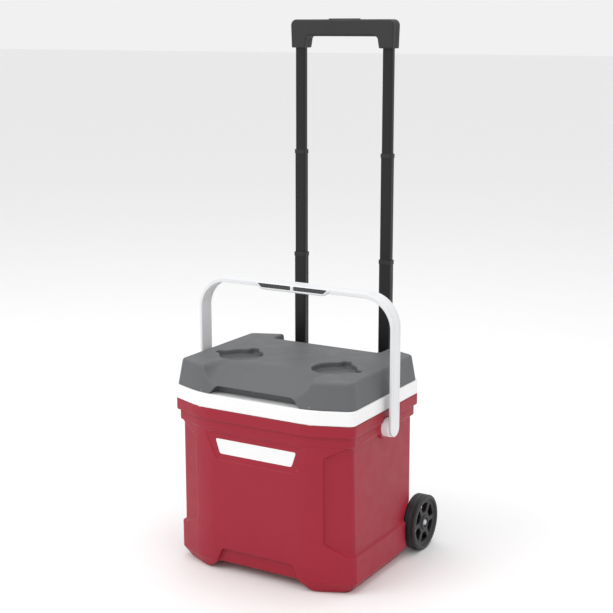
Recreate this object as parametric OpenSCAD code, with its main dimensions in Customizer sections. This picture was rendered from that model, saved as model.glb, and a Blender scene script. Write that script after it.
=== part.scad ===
// Wheeled cooler chest: an insulated tub with a hinged lid, a swinging bail handle,
// two wheels and a telescoping tow handle. Millimetres, +Z up, front towards -Y.
// Sub-parts are drawn about the centre of the rim and then moved back by frame_shift,
// so that the origin is the middle of the whole chest's footprint, on the ground.

/* [Chest] */
// Half width of the rim, side to side
rim_half_w = 184; // [180:1:188]
// Half depth of the rim, front to back
rim_half_d = 154; // [150:1:158]
// Height of the rim's top face
rim_top = 333.6; // [330:0.2:336]
// Height where the white rim meets the coloured shell
shell_top = 307.6; // [304:0.2:310]
// Width taken off each corner, along X
corner_cut_x = 68; // [60:1:76]
// Depth taken off each corner, along Y
corner_cut_y = 30; // [26:1:34]
// Rounding of the upright corner edges
corner_r = 9; // [4:1:14]
// Wall of the coloured shell
shell_wall = 3; // [2.5:0.5:3.5]
// Depth of the recessed side panels
panel_depth = 6; // [4:0.5:7]

/* [Tub] */
// Half width of the tub's mouth
mouth_half_w = 150; // [144:1:154]
// Half depth of the tub's mouth
mouth_half_d = 119; // [112:1:122]
// Height of the tub's inside floor
tub_floor = 44; // [42:1:60]
// Draft of the tub's inside walls, mouth to floor
tub_draft = 8; // [4:1:12]
// Wall of the tub
tub_wall = 2.5; // [2:0.5:3]

/* [Lid] */
// Height of the lid's flat top
lid_top = 380; // [376:1:384]
// Depth of the can holders
holder_depth = 12; // [8:1:14]
// Radius of the can holders
holder_r = 40; // [36:1:42]
// Distance of the can holders from the middle
holder_x = 97; // [92:1:100]
// Place of the can holders along Y
holder_y = -38; // [-44:1:-30]
// Height of the pull recess in the lid's front edge
pull_h = 15; // [12:1:18]

/* [Bail handle] */
// Half width over the bail's outer faces
bail_half_w = 201; // [198:1:204]
// Height of the bail's top face
bail_top = 514; // [500:1:530]
// Height of the bail's pivot
bail_pivot_z = 277; // [274:1:280]
// Width of the bail's strip
bail_strip_w = 32; // [28:1:36]
// Thickness of the bail's arms
bail_arm_t = 5; // [4:0.5:6]
// Thickness of the bail's top bar
bail_bar_t = 8; // [6:0.5:9]
// Outer corner radius of the bail
bail_corner_r = 60; // [50:1:70]

/* [Wheels] */
// Radius of the wheels
wheel_r = 52; // [48:1:54]
// Width of the wheels
wheel_w = 26; // [22:1:26]
// Place of the axle along Y
wheel_y = 141; // [136:1:146]
// Radius of the axle
axle_r = 4; // [3:0.5:5]

/* [Tow handle] */
// Distance of the tow tubes from the middle
tube_x = 91.3; // [90:0.1:92]
// Place of the tow tubes along Y
tube_y = 169; // [168:0.5:171]
// Height of the grip's top face
grip_top = 977.4; // [970:0.2:984]
// Half width of the grip
grip_half_w = 107; // [104:0.5:108]
// Depth of the grip, front to back
grip_d = 28; // [26:1:30]

/* [Hidden] */
$fn = 32;

shell_red = [0.66, 0.12, 0.18];
rim_white = [0.95, 0.95, 0.95];
lid_grey = [0.40, 0.41, 0.42];
trim_black = [0.14, 0.14, 0.15];
insert_grey = [0.25, 0.25, 0.26];
foam_yellow = [0.93, 0.88, 0.70];
steel = [0.75, 0.76, 0.78];

skin = 0.01; // thickness of the slabs that a hull is stretched between
past = 1; // how far a cutter runs past the face it opens
gap = 0.4; // clearance between parts that move past each other
run_fit = 0.06; // radial clearance of a shaft in its bore
both_sides = [-1, 1];

frame_shift = (wheel_y + wheel_r - rim_half_d) / 2;

// Heights and half sizes down the coloured shell
band_high_z = 287;
band_low_z = 268;
skirt_z = 20;
band_inset = 6;
band_half_w = rim_half_w - band_inset;
band_half_d = rim_half_d - band_inset;
skirt_half_w = rim_half_w - 7;
skirt_half_d = rim_half_d - 14;
foot_half_w = rim_half_w - 18;
foot_half_d = rim_half_d - 17;
foot_cut_x = 58;

// Side panels: where the recess starts on the corners and where it ends upright
panel_x0 = 132;
panel_x1 = 172;
panel_bottom = [78, 62];
panel_top = [248, band_low_z];

// Underside: arch between the feet, toe pocket above it, and the cut for the wheels
arch_z = 16;
arch_half_w = [108, 85];
toe_half_w = [86, 72];
toe_top = 43;
toe_depth = 7;
ramp_start_y = 73;
carrier_y0 = 112;
carrier_z0 = 24;
carrier_z1 = 100;
carrier_y1 = tube_y + 13;
carrier_wall = 5;
carrier_pockets = [for (x = [-155, -66, 3]) [x, x < -100 ? -112 : x + 63], [112, 155]];
well_r = wheel_r + 8;
well_x = 168;

// Nameplate and its recess
plate_top = [261.6, 105];
plate_bottom = [215, 68];
plate_depth = 4;
plate_t = 2;
plate_margin = 14;

// Tub
tub_mouth_z = rim_top + past;
rim_wall = 3;

// Lid
lid_z = rim_top + gap;
lid_edge_z = lid_top - 6;
lid_half = [rim_half_w - 2, rim_half_d - 2];
lid_shoulder = [lid_half[0] - 6, lid_half[1] - 6];
lid_roof = [lid_half[0] - 11, lid_half[1] - 11];
lid_wall = 3;
notch_half_w = 114;
notch_front_y = 100;
notch_floor_z = lid_z + 12;
flange_rear_y = 147;
fascia_half_w = [98, 110];
fascia_top_y = -85;
fascia_front_z = 350;
pull_half_w = [92, 78];
pull_depth = 20;
ear_w = 18;
ear_reach = 13;
plug_z = 316;
plug_clear = 3;
plug_half = [mouth_half_w - plug_clear, mouth_half_d - plug_clear];
plug_t = 2.5;

// Lid hinges
hinge_y = 158;
hinge_z = 337;
hinge_x = 45;
hinge_w = 44;
knuckle_r = 4.5;
knuckle_w = 14;
hinge_pin_r = 2;
leaf_t = 2;
leaf_len = 26;

// Bail
bail_y = -3.5;
bail_inner_half_w = bail_half_w - bail_arm_t;
bail_inner_r = bail_corner_r - (bail_arm_t + bail_bar_t) / 2;
bail_under = bail_top - bail_bar_t;
bail_end_r = bail_strip_w / 2;
bail_stud_r = 8;
bail_stud_x = 158;
boss_r = 17;
boss_x = 165;
grip_lip_z = bail_top - 13;
grip_lip_half_w = [66, 80];
grip_lip_proud = 2;
slot_half_w = 72;
slot_rib = 6;
slot_z = [bail_top - 9, bail_top - 1.6];
slot_depth = 4;
insert_t = 3;
clip_r = 13;
clip_t = 3;

// Wheels
wheel_in = 171;
wheel_out = wheel_in + wheel_w;
tread_r = 45;
web_x = [wheel_out - 8, wheel_out - 4];
hub_r = 11;
window_count = 6;
window_r = 29;
window_size = [13, 17];
cap_r = 6.5;

// Tow tubes, from the fixed outer stage to the top stage
tube_wall = 0.6;
tube_gap = 0.3;
tube_step = 2 * (tube_wall + tube_gap);
upper_size = [20.2, 12.8];
tube_corner_r = 3.5;
stage_top = [342, 540, 737, 941];
stage_bottom = [86, 297, 497, 698];
collar_h = 8;
collar_t = 1;
shoe_h = 6;
shoe_plug_h = 4;

// Tow grip
leg_bottom_z = 926;
bar_under_z = 947;
leg_inner = [77, 73.5];
leg_outer = grip_half_w - 1.5;
grip_corner_r = 11;
grip_socket_z = stage_top[3];
button_half_w = 32;
button_d = 16;
button_proud = 1.6;
button_travel = 5;
spring_r = 4;
spring_wire = 0.8;
spring_z = [grip_top - 22, grip_top - 10];
bracket_z = [286, 328];

// --- Shared shapes ---------------------------------------------------------

module placed() {
    translate([0, -frame_shift, 0])
        children();
}

// Mirrors its children to the left when side is -1
module on_side(side) {
    mirror([side < 0 ? 1 : 0, 0, 0])
        children();
}

module on_both_sides() {
    for (side = both_sides)
        on_side(side)
            children();
}

// Rectangle with its four corners cut off, then slightly rounded
module outline(half_w, half_d, cut_x = corner_cut_x, round_r = corner_r) {
    offset(r = round_r)
        offset(delta = -round_r)
            polygon([
                for (side = [[1, 1], [-1, 1], [-1, -1], [1, -1]])
                    for (turn = side[0] * side[1] > 0 ? [0, 1] : [1, 0])
                        turn == 0
                            ? [side[0] * half_w, side[1] * (half_d - corner_cut_y)]
                            : [side[0] * (half_w - cut_x), side[1] * half_d]
            ]);
}

// Prism of the outline between two heights
module ring_block(z0, z1, half_w, half_d) {
    translate([0, 0, z0])
        linear_extrude(z1 - z0)
            outline(half_w, half_d);
}

// Outline that changes size between two heights
module drafted(z0, half0, z1, half1, cut0 = corner_cut_x) {
    hull() {
        translate([0, 0, z0])
            linear_extrude(skin)
                outline(half0[0], half0[1], cut0);
        translate([0, 0, z1 - skin])
            linear_extrude(skin)
                outline(half1[0], half1[1]);
    }
}

// Extrudes a shape drawn in X and Z along Y, from y0 to y1
module along_y(y0, y1) {
    translate([0, y1, 0])
        rotate([90, 0, 0])
            linear_extrude(y1 - y0)
                children();
}

// Extrudes a shape drawn in Y and Z along X, from x0 to x1
module along_x(x0, x1) {
    translate([x0, 0, 0])
        rotate([90, 0, 90])
            linear_extrude(x1 - x0)
                children();
}

// Cylinder along X about a point in the Y-Z plane
module x_rod(x0, x1, y, z, r) {
    translate([x0, y, z])
        rotate([0, 90, 0])
            cylinder(h = x1 - x0, r = r, $fn = 64);
}

// Cylinder along Y about a point in the X-Z plane
module y_rod(y0, y1, x, z, r) {
    translate([x, y1, z])
        rotate([90, 0, 0])
            cylinder(h = y1 - y0, r = r, $fn = 32);
}

// Rectangle with true round corners, centred
module round_rect(size, r) {
    square([size[0], size[1] - 2 * r], center = true);
    square([size[0] - 2 * r, size[1]], center = true);
    for (x = both_sides)
        for (y = both_sides)
            translate([x * (size[0] / 2 - r), y * (size[1] / 2 - r)])
                circle(r);
}

// Upright block with round corners, centred on a tow tube
module tube_block(z0, z1, size, r = tube_corner_r) {
    translate([tube_x, tube_y, z0])
        linear_extrude(z1 - z0)
            round_rect(size, r);
}

// Trapezoid in X and Z, from half width w0 at z0 to half width w1 at z1
module trapezoid(z0, w0, z1, w1) {
    polygon([[-w0, z0], [w0, z0], [w1, z1], [-w1, z1]]);
}

// --- Coloured shell --------------------------------------------------------

// Everything except the side windows, as seen from the front; t is the wall inside it
module front_zone(t) {
    difference() {
        translate([-rim_half_w, 0])
            square([2 * rim_half_w, band_low_z + panel_depth]);
        for (side = both_sides)
            mirror([side < 0 ? 1 : 0, 0])
                polygon([
                    [panel_x0 - t, panel_bottom[0] - t],
                    [panel_x1 - t, panel_bottom[1] - t],
                    [rim_half_w + past, panel_bottom[1] - t],
                    [rim_half_w + past, panel_top[1] + t],
                    [panel_x1 - t, panel_top[1] + t],
                    [panel_x0 - t, panel_top[0] + t]
                ]);
    }
}

module shell_walls(inset) {
    drafted(
        skirt_z, [skirt_half_w - inset, skirt_half_d - inset],
        band_low_z + panel_depth, [band_half_w - inset, band_half_d - inset]
    );
}

// Whole outside of the shell, or with t its inside; opens is how far the top runs on
module shell_form(t, opens) {
    ring_block(band_high_z + t, shell_top + opens, rim_half_w - t, rim_half_d - t);
    ring_block(band_low_z + t, shell_top + opens, band_half_w - t, band_half_d - t);
    shell_walls(panel_depth + t);
    intersection() {
        shell_walls(t);
        along_y(-rim_half_d, rim_half_d)
            front_zone(t);
    }
    drafted(
        t, [foot_half_w - t, foot_half_d - t],
        skirt_z + past, [skirt_half_w - t, skirt_half_d - t],
        foot_cut_x
    );
}

module underside_cut(grow) {
    along_x(-rim_half_w - past, rim_half_w + past)
        polygon([
            [ramp_start_y - grow, -past],
            [ramp_start_y - grow, 0],
            [carrier_y0 - grow, carrier_z0 + grow],
            [carrier_y0 - grow, carrier_z1 + grow],
            [rim_half_d + past, carrier_z1 + grow],
            [rim_half_d + past, -past]
        ]);
}

module wheel_wells(grow) {
    on_both_sides()
        x_rod(well_x - grow, rim_half_w + past, wheel_y, wheel_r, well_r + grow);
}

module plate_shape(inset) {
    slope = (plate_top[1] - plate_bottom[1]) / (plate_top[0] - plate_bottom[0]);
    trapezoid(
        plate_bottom[0] + inset, plate_bottom[1] - inset * (1 - slope),
        plate_top[0] - inset, plate_top[1] - inset * (1 + slope)
    );
}

// Everything cut into the shell from outside, or with grow the wall behind each cut
module shell_cuts(grow) {
    underside_cut(grow);
    wheel_wells(grow);
    along_y(-rim_half_d - past, rim_half_d + past)
        trapezoid(-past, arch_half_w[0] + past + grow, arch_z + grow, arch_half_w[1] + grow);
    along_y(-rim_half_d, toe_depth + grow - skirt_half_d)
        trapezoid(arch_z - past, toe_half_w[0] + grow, toe_top + grow, toe_half_w[1] + grow);
    along_y(-rim_half_d, plate_depth + grow - band_half_d)
        plate_shape(-grow);
    on_both_sides()
        x_rod(boss_x - grow, bail_half_w, bail_y, bail_pivot_z, boss_r + grow);
}

// Space inside the shell, which the foam fills
module shell_space() {
    difference() {
        shell_form(shell_wall, past);
        shell_cuts(shell_wall);
    }
}

module outer_shell() color(shell_red) placed() {
    difference() {
        shell_form(0, 0);
        shell_space();
        shell_cuts(0);
        on_both_sides()
            x_rod(bail_stud_x, boss_x + past, bail_y, bail_pivot_z, bail_stud_r + gap);
    }
}

module nameplate() color(rim_white) placed() {
    along_y(plate_depth - band_half_d - plate_t, plate_depth - band_half_d)
        plate_shape(plate_margin / 2);
}

// --- Tub, foam -------------------------------------------------------------

module tub_space(grow) {
    drafted(
        tub_floor - grow, [mouth_half_w - tub_draft + grow, mouth_half_d - tub_draft + grow],
        grow > 0 ? rim_top - rim_wall : tub_mouth_z, [mouth_half_w + grow, mouth_half_d + grow]
    );
}

// Lower rear corner of the tub, raised over the axle
module tub_step(grow) {
    along_x(-rim_half_w, rim_half_w)
        polygon([
            [84 - grow, 0],
            [84 - grow, 112 + grow],
            [rim_half_d, 112 + grow],
            [rim_half_d, 0]
        ]);
}

module tub_inside() {
    difference() {
        tub_space(0);
        tub_step(0);
    }
}

module tub_outside() {
    difference() {
        tub_space(tub_wall);
        tub_step(-tub_wall);
    }
}

module rim_hollow() {
    ring_block(shell_top - past, rim_top - rim_wall, rim_half_w - rim_wall, rim_half_d - rim_wall);
}

module inner_liner() color(rim_white) placed() {
    difference() {
        union() {
            difference() {
                ring_block(shell_top, rim_top, rim_half_w, rim_half_d);
                rim_hollow();
            }
            tub_outside();
        }
        tub_inside();
    }
}

module foam_core() color(foam_yellow) placed() {
    difference() {
        union() {
            intersection() {
                shell_space();
                cube([2 * rim_half_w, 2 * rim_half_d, 2 * shell_top], center = true);
            }
            intersection() {
                rim_hollow();
                translate([-rim_half_w, -rim_half_d, shell_top])
                    cube([2 * rim_half_w, 2 * rim_half_d, rim_top]);
            }
        }
        tub_outside();
        tub_space(0);
        on_both_sides()
            x_rod(bail_stud_x - past, rim_half_w, bail_y, bail_pivot_z, clip_r + gap);
    }
}

module pivot_boss(side) color(rim_white) placed() on_side(side) {
    difference() {
        x_rod(boss_x, bail_inner_half_w - gap, bail_y, bail_pivot_z, boss_r);
        x_rod(boss_x - past, bail_half_w, bail_y, bail_pivot_z, bail_stud_r + run_fit);
    }
}

module pivot_boss_left() pivot_boss(-1);
module pivot_boss_right() pivot_boss(1);

// --- Lid -------------------------------------------------------------------

module lid_block(inset) {
    hull() {
        translate([0, 0, lid_z - (inset > 0 ? past : 0)])
            linear_extrude(skin)
                outline(lid_half[0] - inset, lid_half[1] - inset);
        translate([0, 0, lid_edge_z - inset])
            linear_extrude(skin)
                outline(lid_shoulder[0] - inset, lid_shoulder[1] - inset);
        translate([0, 0, lid_top - inset - skin])
            linear_extrude(skin)
                outline(lid_roof[0] - inset, lid_roof[1] - inset);
    }
}

// Sloping front face between the two corner pads
module fascia_cut(grow) {
    drop = lid_top - fascia_front_z;
    run = lid_half[1] + fascia_top_y;
    intersection() {
        along_x(-rim_half_w, rim_half_w)
            polygon([
                [fascia_top_y, lid_top - grow],
                [fascia_top_y - 2 * run, lid_top - grow - 2 * drop],
                [fascia_top_y - 2 * run, lid_top + 2 * drop],
                [fascia_top_y + grow, lid_top + 2 * drop],
                [fascia_top_y + grow, lid_top - grow]
            ]);
        along_y(-2 * rim_half_d, 0)
            trapezoid(
                fascia_front_z - drop, fascia_half_w[0] + grow,
                lid_top, fascia_half_w[1] + grow
            );
    }
}

module notch_cut(grow) {
    translate([-notch_half_w - grow, notch_front_y - grow, notch_floor_z - grow])
        cube([2 * (notch_half_w + grow), rim_half_d, lid_top]);
    translate([-rim_half_w, flange_rear_y - grow, 0])
        intersection() {
            cube([2 * rim_half_w, rim_half_d, 2 * lid_top]);
            translate([rim_half_w - notch_half_w - grow, 0, 0])
                cube([2 * (notch_half_w + grow), rim_half_d, 2 * lid_top]);
        }
}

// Round pocket with a small ear to the rear and another to the outside
module holder_cut(grow) {
    translate([holder_x, holder_y, lid_top - holder_depth - grow]) {
        cylinder(h = lid_top, r = holder_r + grow, $fn = 96);
        translate([-ear_w / 2 - grow, 0, 0])
            cube([ear_w + 2 * grow, holder_r + ear_reach + grow, lid_top]);
        rotate([0, 0, -90])
            translate([-ear_w / 2 - grow, 0, 0])
                cube([ear_w + 2 * grow, holder_r + ear_reach + grow, lid_top]);
    }
}

module pull_cut(grow) {
    along_y(-rim_half_d, pull_depth + grow - lid_half[1])
        trapezoid(
            lid_z - past, pull_half_w[0] + grow,
            lid_z + pull_h + grow, pull_half_w[1] + grow
        );
}

module lid_cuts(grow) {
    fascia_cut(grow);
    notch_cut(grow);
    on_both_sides()
        holder_cut(grow);
    pull_cut(grow);
}

module lid_space() {
    difference() {
        lid_block(lid_wall);
        lid_cuts(lid_wall);
    }
}

module lid_shell() color(lid_grey) placed() {
    difference() {
        lid_block(0);
        lid_cuts(0);
        lid_space();
    }
}

// Flat white panel that closes the lid's underside
module lid_panel() {
    intersection() {
        lid_space();
        translate([-rim_half_w, -rim_half_d, lid_z])
            cube([2 * rim_half_w, 2 * rim_half_d, plug_t]);
    }
}

// Hollow of the plug that reaches into the tub's mouth
module plug_space(top) {
    ring_block(plug_z + plug_t, top, plug_half[0] - plug_t, plug_half[1] - plug_t);
}

module lid_liner() color(rim_white) placed() {
    difference() {
        union() {
            lid_panel();
            ring_block(plug_z, lid_z + skin, plug_half[0], plug_half[1]);
        }
        plug_space(lid_z + 2 * plug_t);
    }
}

module lid_foam() color(foam_yellow) placed() {
    difference() {
        lid_space();
        translate([-rim_half_w, -rim_half_d, 0])
            cube([2 * rim_half_w, 2 * rim_half_d, lid_z + plug_t]);
    }
    intersection() {
        plug_space(lid_z + 2 * plug_t);
        union() {
            lid_space();
            ring_block(plug_z, lid_z + plug_t, plug_half[0], plug_half[1]);
        }
    }
}

// --- Lid hinges ------------------------------------------------------------

// Knuckle between two places measured from the hinge's middle
module knuckle(x0, x1) {
    difference() {
        x_rod(hinge_x + x0, hinge_x + x1, hinge_y, hinge_z, knuckle_r);
        x_rod(hinge_x + x0 - past, hinge_x + x1 + past, hinge_y, hinge_z, hinge_pin_r + run_fit);
    }
}

module hinge_base(side) color(rim_white) placed() on_side(side) {
    leaf_bottom = 312;
    difference() {
        union() {
            translate([hinge_x - hinge_w / 2, rim_half_d, leaf_bottom])
                cube([hinge_w, leaf_t, hinge_z - knuckle_r - gap - leaf_bottom]);
            for (end = [-hinge_w / 2, hinge_w / 2 - knuckle_w])
                translate([hinge_x + end, rim_half_d, hinge_z - knuckle_r - 3])
                    cube([knuckle_w, hinge_y - rim_half_d, knuckle_r + 3]);
            for (end = [-hinge_w / 2, hinge_w / 2 - knuckle_w])
                x_rod(hinge_x + end, hinge_x + end + knuckle_w, hinge_y, hinge_z, knuckle_r);
        }
        x_rod(
            hinge_x - hinge_w, hinge_x + hinge_w,
            hinge_y, hinge_z, hinge_pin_r + run_fit
        );
        for (x = both_sides)
            y_rod(rim_half_d - past, hinge_y, hinge_x + x * hinge_w / 4, 321, 1.6);
    }
}

module hinge_leaf(side) color(lid_grey) placed() on_side(side) {
    reach = hinge_w / 2 - knuckle_w - gap;
    knuckle(-reach, reach);
    difference() {
        translate([hinge_x - reach, hinge_y - leaf_len, notch_floor_z])
            cube([2 * reach, leaf_len - 1, leaf_t]);
        x_rod(hinge_x - hinge_w, hinge_x + hinge_w, hinge_y, hinge_z, knuckle_r);
    }
    difference() {
        translate([hinge_x - reach, hinge_y - 4, hinge_z])
            cube([2 * reach, 3, notch_floor_z + leaf_t - hinge_z]);
        x_rod(hinge_x - hinge_w, hinge_x + hinge_w, hinge_y, hinge_z, hinge_pin_r + run_fit);
    }
}

module hinge_pin(side) color(steel) placed() on_side(side) {
    x_rod(hinge_x - hinge_w / 2, hinge_x + hinge_w / 2, hinge_y, hinge_z, hinge_pin_r);
}

module hinge_base_left() hinge_base(-1);
module hinge_base_right() hinge_base(1);
module hinge_leaf_left() hinge_leaf(-1);
module hinge_leaf_right() hinge_leaf(1);
module hinge_pin_left() hinge_pin(-1);
module hinge_pin_right() hinge_pin(1);

// --- Bail handle -----------------------------------------------------------

// Arch in X and Z: straight sides, round shoulders, flat top
module arch(half_w, top, r) {
    foot = bail_pivot_z - bail_strip_w;
    for (side = both_sides)
        translate([side * (half_w - r), top - r])
            circle(r, $fn = 96);
    translate([-half_w, foot])
        square([2 * half_w, top - r - foot]);
    translate([r - half_w, foot])
        square([2 * (half_w - r), top - foot]);
}

module bail_inserts_shape(t) {
    for (face = both_sides)
        for (side = both_sides)
            on_side(side)
                along_y(
                    bail_y + face * (bail_strip_w / 2 + grip_lip_proud - slot_depth) + (face < 0 ? -t : 0),
                    bail_y + face * (bail_strip_w / 2 + grip_lip_proud - slot_depth) + (face < 0 ? 0 : t)
                )
                    polygon([
                        [slot_rib / 2, slot_z[0]],
                        [slot_half_w - 8, slot_z[0]],
                        [slot_half_w, slot_z[1]],
                        [slot_rib / 2, slot_z[1]]
                    ]);
}

module bail_handle() color(rim_white) placed() {
    proud = bail_strip_w / 2 + grip_lip_proud;
    difference() {
        union() {
            intersection() {
                along_y(bail_y - bail_strip_w / 2, bail_y + bail_strip_w / 2)
                    difference() {
                        arch(bail_half_w, bail_top, bail_corner_r);
                        arch(bail_inner_half_w, bail_under, bail_inner_r);
                    }
                union() {
                    x_rod(-bail_half_w, bail_half_w, bail_y, bail_pivot_z, bail_end_r);
                    translate([-bail_half_w, bail_y - bail_strip_w / 2, bail_pivot_z])
                        cube([2 * bail_half_w, bail_strip_w, bail_top]);
                }
            }
            along_y(bail_y - proud, bail_y + proud)
                trapezoid(grip_lip_z, grip_lip_half_w[0], bail_top, grip_lip_half_w[1]);
            on_both_sides()
                x_rod(bail_stud_x, bail_half_w - bail_arm_t / 2, bail_y, bail_pivot_z, bail_stud_r);
        }
        bail_inserts_shape(slot_depth + past);
    }
}

module bail_inserts() color(insert_grey) placed() {
    bail_inserts_shape(insert_t);
}

// Clips that hold the bail's studs behind the shell wall
module bail_clips() color(steel) placed() on_both_sides() {
    difference() {
        x_rod(bail_stud_x, bail_stud_x + clip_t, bail_y, bail_pivot_z, clip_r);
        x_rod(bail_stud_x - past, rim_half_w, bail_y, bail_pivot_z, bail_stud_r);
    }
}

// --- Wheels and axle -------------------------------------------------------

module wheel_window() {
    half = window_size / 2;
    linear_extrude(2 * wheel_w)
        round_rect(window_size, half[0] / 2);
}

// Wheel about the Z axis, from 0 on its inner face to wheel_w on its outer face
module wheel_turned() {
    difference() {
        rotate_extrude($fn = 96)
            polygon([
                [axle_r + run_fit, 1],
                [hub_r, 1],
                [hub_r, web_x[0] - wheel_in],
                [tread_r - 4, web_x[0] - wheel_in],
                [tread_r - 2, 2],
                [wheel_r - 3, 0],
                [wheel_r, 3],
                [wheel_r, wheel_w - 4],
                [wheel_r - 2.5, wheel_w - 1],
                [tread_r + 1, wheel_w],
                [tread_r - 2, web_x[1] + 1 - wheel_in],
                [tread_r - 4, web_x[1] - wheel_in],
                [hub_r + 5, web_x[1] - wheel_in],
                [hub_r + 2, wheel_w - 2],
                [hub_r - 1, wheel_w - 2],
                [hub_r - 2, web_x[1] - wheel_in],
                [axle_r + run_fit, web_x[1] - wheel_in]
            ]);
        for (turn = [0 : window_count - 1])
            rotate([0, 0, turn * 360 / window_count])
                translate([window_r, 0, 0])
                    wheel_window();
    }
}

module wheel(side) color(trim_black) placed() on_side(side) {
    translate([wheel_in, wheel_y, wheel_r])
        rotate([0, 90, 0])
            wheel_turned();
}

module axle_cap(side) color(steel) placed() on_side(side) {
    cap_in = web_x[1] + gap;
    cap_out = wheel_out - 1;
    difference() {
        x_rod(cap_in, cap_out, wheel_y, wheel_r, cap_r);
        x_rod(cap_in - past, cap_out - 1, wheel_y, wheel_r, axle_r);
    }
}

module axle() color(steel) placed() {
    reach = wheel_out - 2;
    x_rod(-reach, reach, wheel_y, wheel_r, axle_r);
}

// Moulded beam behind the chest: holds the axle and the feet of the tow tubes
module axle_carrier() color(trim_black) placed() {
    half_w = well_x - gap;
    outer_size = stage_size(0);
    socket_x = [tube_x - outer_size[0] / 2 - carrier_wall, tube_x + outer_size[0] / 2 + carrier_wall];
    shoulder_z = wheel_r + 14;
    difference() {
        intersection() {
            along_x(-half_w, half_w)
                polygon([
                    [carrier_y0, carrier_z0],
                    [carrier_y1 - 12, carrier_z0],
                    [carrier_y1, carrier_z0 + 12],
                    [carrier_y1, carrier_z1 - 8],
                    [carrier_y1 - 8, carrier_z1],
                    [carrier_y0, carrier_z1]
                ]);
            along_y(carrier_y0 - past, carrier_y1 + past)
                polygon([
                    [-half_w, 0],
                    [half_w, 0],
                    [half_w, shoulder_z],
                    [socket_x[1] + 6, shoulder_z],
                    [socket_x[1], carrier_z1],
                    [socket_x[0], carrier_z1],
                    [socket_x[0] - 6, shoulder_z],
                    [6 - socket_x[0], shoulder_z],
                    [-socket_x[0], carrier_z1],
                    [-socket_x[1], carrier_z1],
                    [-socket_x[1] - 6, shoulder_z],
                    [-half_w, shoulder_z]
                ]);
        }
        for (x = carrier_pockets)
            translate([x[0], carrier_y0 + carrier_wall, carrier_z0 - past])
                cube([
                    x[1] - x[0],
                    carrier_y1 - carrier_y0 - 2 * carrier_wall,
                    shoulder_z - carrier_wall - carrier_z0 + past
                ]);
        x_rod(-rim_half_w, rim_half_w, wheel_y, wheel_r, axle_r);
        on_both_sides()
            tube_block(stage_bottom[0], carrier_z1 + past, outer_size);
    }
}

module carrier_screws() color(steel) placed() on_both_sides() {
    for (x = [0.3, 1.45])
        y_rod(carrier_y1, carrier_y1 + 2, x * tube_x, wheel_r, 4);
}

// --- Tow handle ------------------------------------------------------------

function stage_size(stage) = upper_size + [1, 1] * tube_step * (3 - stage);

module tube(stage, side) color(trim_black) placed() on_side(side) {
    size = stage_size(stage);
    difference() {
        tube_block(stage_bottom[stage], stage_top[stage], size);
        tube_block(
            stage_bottom[stage] - past, stage_top[stage] + past,
            size - [2, 2] * tube_wall, tube_corner_r - tube_wall
        );
    }
}

// Ring around the top of a stage
module collar(stage, side) color(trim_black) placed() on_side(side) {
    size = stage_size(stage);
    top = stage_top[stage];
    difference() {
        tube_block(top - collar_h, top, size + [2, 2] * collar_t, tube_corner_r + collar_t);
        tube_block(top - collar_h - past, top + past, size);
    }
}

// Plug that closes a stage's bottom and slides in the next stage
module shoe(stage, side) color(insert_grey) placed() on_side(side) {
    size = stage_size(stage);
    bottom = stage_bottom[stage];
    tube_block(bottom - shoe_h, bottom, size);
    tube_block(
        bottom - skin, bottom + shoe_plug_h,
        size - [2, 2] * tube_wall, tube_corner_r - tube_wall
    );
}

module outer_tube_left() tube(0, -1);
module outer_tube_right() tube(0, 1);
module lower_tube_left() tube(1, -1);
module lower_tube_right() tube(1, 1);
module middle_tube_left() tube(2, -1);
module middle_tube_right() tube(2, 1);
module upper_tube_left() tube(3, -1);
module upper_tube_right() tube(3, 1);
module outer_collar_left() collar(0, -1);
module outer_collar_right() collar(0, 1);
module lower_collar_left() collar(1, -1);
module lower_collar_right() collar(1, 1);
module middle_collar_left() collar(2, -1);
module middle_collar_right() collar(2, 1);
module lower_shoe_left() shoe(1, -1);
module lower_shoe_right() shoe(1, 1);
module middle_shoe_left() shoe(2, -1);
module middle_shoe_right() shoe(2, 1);
module upper_shoe_left() shoe(3, -1);
module upper_shoe_right() shoe(3, 1);

module tow_bracket() color(trim_black) placed() {
    outer_size = stage_size(0);
    half_w = tube_x + outer_size[0] / 2 + 4;
    front_y = rim_half_d;
    difference() {
        union() {
            translate([-half_w, front_y, bracket_z[0]])
                cube([2 * half_w, 4, 24]);
            on_both_sides()
                tube_block(bracket_z[0], bracket_z[1], outer_size + [8, 8], tube_corner_r + 3);
            on_both_sides()
                translate([tube_x - outer_size[0] / 2 - 4, front_y, bracket_z[0]])
                    cube([outer_size[0] + 8, tube_y - front_y, bracket_z[1] - bracket_z[0]]);
        }
        on_both_sides()
            tube_block(bracket_z[0] - past, bracket_z[1] + past, outer_size);
        for (x = both_sides)
            y_rod(front_y - past, tube_y, x * tube_x / 2, bracket_z[0] + 12, 2.5);
    }
}

module bracket_screws() color(steel) placed() on_both_sides() {
    y_rod(rim_half_d + 4, rim_half_d + 6.5, tube_x / 2, bracket_z[0] + 12, 5);
}

// Grip outline in X and Z, with true round top corners
module grip_outline() {
    r = grip_corner_r;
    difference() {
        union() {
            for (side = both_sides)
                translate([side * (grip_half_w - r), grip_top - r])
                    circle(r, $fn = 64);
            translate([r - grip_half_w, grip_top - r])
                square([2 * (grip_half_w - r), r]);
            trapezoid(leg_bottom_z, leg_outer, grip_top - r, grip_half_w);
        }
        trapezoid(leg_bottom_z - past, leg_inner[0], bar_under_z, leg_inner[1]);
    }
}

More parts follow.
